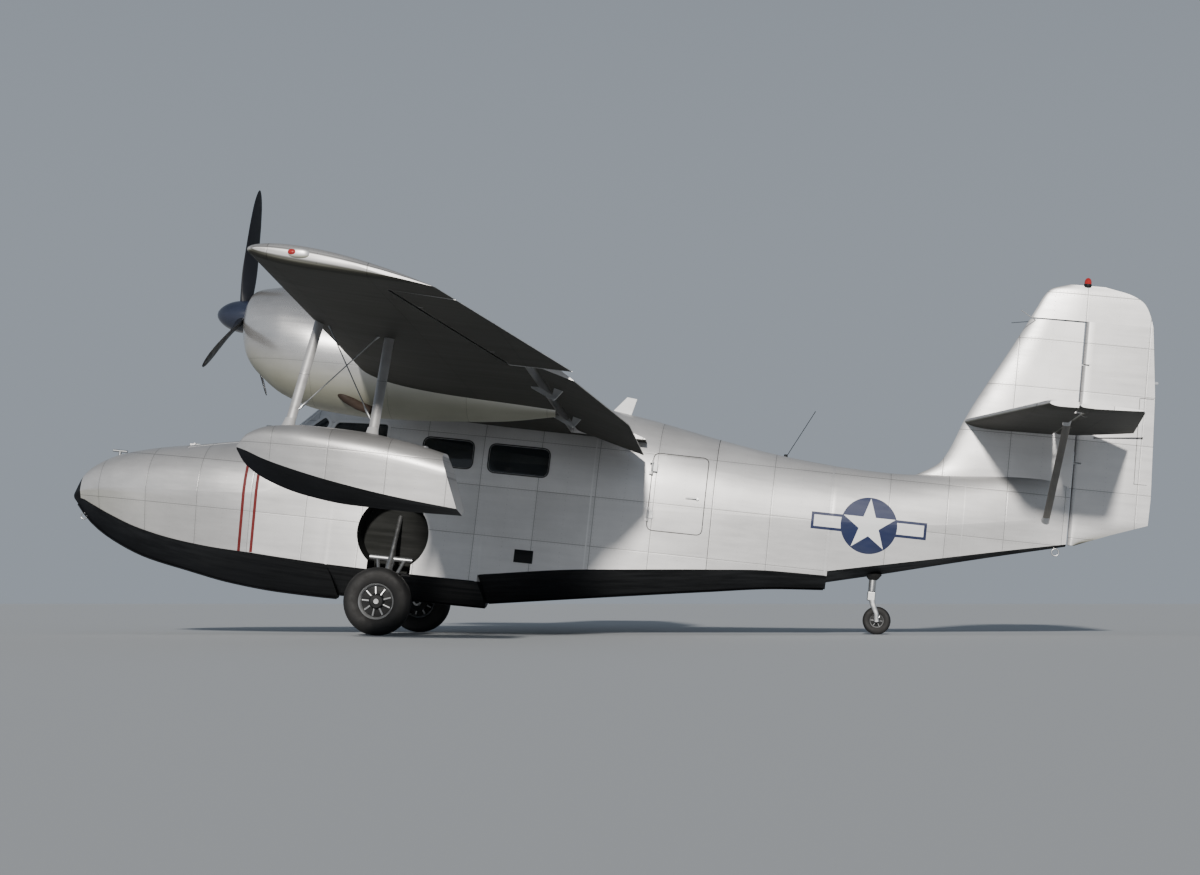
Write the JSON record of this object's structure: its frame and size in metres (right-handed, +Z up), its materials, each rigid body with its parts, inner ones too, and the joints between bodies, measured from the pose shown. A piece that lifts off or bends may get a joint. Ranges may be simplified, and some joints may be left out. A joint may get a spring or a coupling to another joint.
{
  "type": "twin-engined amphibious flying boat",
  "caption": "High-wing amphibious flying boat with a stepped hull, wing floats and retractable wheels, parked on its gear.",
  "frame": {"origin": "centre of the footprint on the ground, under the parked aircraft", "axes": "+X to the nose, +Y to port, +Z up; the airframe's own waterline is pitched 6 degrees nose up"},
  "size_m": [9.5418, 12.21, 3.6236],
  "materials": {
    "hull_metal": "semi-polished natural metal",
    "bottom_paint": "gloss black paint",
    "cabin_trim": "matte painted floor",
    "glass": "tinted clear",
    "engine": "cast",
    "propeller": "dark satin",
    "steel": "satin",
    "dark_metal": "satin dark",
    "red_lens": "gloss",
    "tyre": "matte rubber",
    "seat_leather": "matte",
    "panel_black": "matte"
  },
  "bodies": {
    "airframe": {"bow": "hull_metal", "hull_bottom_fore": "bottom_paint", "hull_bottom_aft": "bottom_paint", "cabin_floor": "cabin_trim", "cabin_side_left": "hull_metal", "cabin_side_right": "hull_metal", "cabin_roof": "hull_metal", "hull_tail": "hull_metal", "windscreen_left": "glass", "windscreen_right": "glass", "cockpit_window_left": "glass", "cockpit_window_right": "glass", "quarter_light_left": "glass", "quarter_light_right": "glass", "cabin_window_front_left": "glass", "cabin_window_front_right": "glass", "cabin_window_rear_left": "glass", "cabin_window_rear_right": "glass", "wing_left": "hull_metal", "wing_right": "hull_metal", "nacelle_left": "hull_metal", "nacelle_right": "hull_metal", "engine_left": "engine", "engine_right": "engine", "wing_float_left": "hull_metal", "wing_float_right": "hull_metal", "float_struts_left": "steel", "float_struts_right": "steel", "fin": "hull_metal", "tailplane_left": "hull_metal", "tailplane_right": "hull_metal", "tail_strut_left": "dark_metal", "tail_strut_right": "dark_metal", "gear_leg_left": "steel", "gear_leg_right": "steel", "tail_leg": "steel", "pilot_seat_left": "seat_leather", "pilot_seat_right": "seat_leather", "rear_bench": "seat_leather", "instrument_panel": "panel_black"},
    "propeller_left": {"propeller_left": "propeller"},
    "propeller_right": {"propeller_right": "propeller"},
    "wheel_left": {"tyre_left": "tyre", "hub_left": "dark_metal"},
    "wheel_right": {"tyre_right": "tyre", "hub_right": "dark_metal"},
    "tail_fork": {"tail_fork": "steel"},
    "tail_wheel": {"tail_tyre": "tyre", "tail_hub": "dark_metal"},
    "rudder": {"rudder": "hull_metal", "beacon": "red_lens"},
    "elevators": {"elevators": "hull_metal"},
    "aileron_left": {"aileron_left": "hull_metal"},
    "aileron_right": {"aileron_right": "hull_metal"},
    "flap_left": {"flap_left": "hull_metal"},
    "flap_right": {"flap_right": "hull_metal"},
    "cabin_door": {"cabin_door": "hull_metal"},
    "bow_hatch": {"bow_hatch": "hull_metal"}
  },
  "joints": [
    {"name": "propeller_left_spin", "type": "hinge", "parent": "airframe", "child": "propeller_left", "pos_m": [2.7296, 1.7, 2.58057], "axis": [0.9945, 0, 0.1045], "continuous": true},
    {"name": "propeller_right_spin", "type": "hinge", "parent": "airframe", "child": "propeller_right", "pos_m": [2.7296, -1.7, 2.58057], "axis": [0.9945, 0, 0.1045], "continuous": true},
    {"name": "wheel_left_spin", "type": "hinge", "parent": "airframe", "child": "wheel_left", "pos_m": [1.77949, 0.92, 0.28367], "axis": [0, 1, 0], "continuous": true},
    {"name": "wheel_right_spin", "type": "hinge", "parent": "airframe", "child": "wheel_right", "pos_m": [1.77949, -0.92, 0.28367], "axis": [0, 1, 0], "continuous": true},
    {"name": "tail_swivel", "type": "hinge", "parent": "airframe", "child": "tail_fork", "pos_m": [-2.34691, 0, 0.36781], "axis": [-0.1045, 0, 0.9945], "continuous": true},
    {"name": "tail_wheel_spin", "type": "hinge", "parent": "tail_fork", "child": "tail_wheel", "pos_m": [-2.38615, 0, 0.11934], "axis": [0, 1, 0], "continuous": true},
    {"name": "rudder_turn", "type": "hinge", "parent": "airframe", "child": "rudder", "pos_m": [-4.095, 0, 1.31024], "axis": [-0.1045, 0, 0.9945], "range_deg": [-25, 25]},
    {"name": "elevator_turn", "type": "hinge", "parent": "airframe", "child": "elevators", "pos_m": [-3.95512, 0, 1.74927], "axis": [0, 1, 0], "range_deg": [-20, 28]},
    {"name": "aileron_left_turn", "type": "hinge", "parent": "airframe", "child": "aileron_left", "pos_m": [0.24359, 3.618, 1.9816], "axis": [0.1857, 0.9794, 0.079], "range_deg": [-20, 20]},
    {"name": "aileron_right_turn", "type": "hinge", "parent": "airframe", "child": "aileron_right", "pos_m": [0.24359, -3.618, 1.9816], "axis": [-0.1857, 0.9794, -0.079], "range_deg": [-20, 20]},
    {"name": "flap_left_turn", "type": "hinge", "parent": "airframe", "child": "flap_left", "pos_m": [0.07934, 0.64, 1.63098], "axis": [-0.007, 0.9978, 0.0666], "range_deg": [-25, 15]},
    {"name": "flap_right_turn", "type": "hinge", "parent": "airframe", "child": "flap_right", "pos_m": [0.07934, -0.64, 1.63098], "axis": [0.007, 0.9978, -0.0666], "range_deg": [-25, 15]},
    {"name": "cabin_door_hinge", "type": "hinge", "parent": "airframe", "child": "cabin_door", "pos_m": [-0.45562, 0.549, 1.01907], "axis": [0.1045, 0, -0.9945], "range_deg": [0, 85]},
    {"name": "bow_hatch_hinge", "type": "hinge", "parent": "airframe", "child": "bow_hatch", "pos_m": [3.64676, 0, 1.68956], "axis": [0, 1, 0], "range_deg": [0, 100]}
  ],
  "couplings": [
    {"joint": "aileron_right_turn", "follows": "aileron_left_turn", "ratio": -1},
    {"joint": "flap_right_turn", "follows": "flap_left_turn", "ratio": 1}
  ]
}
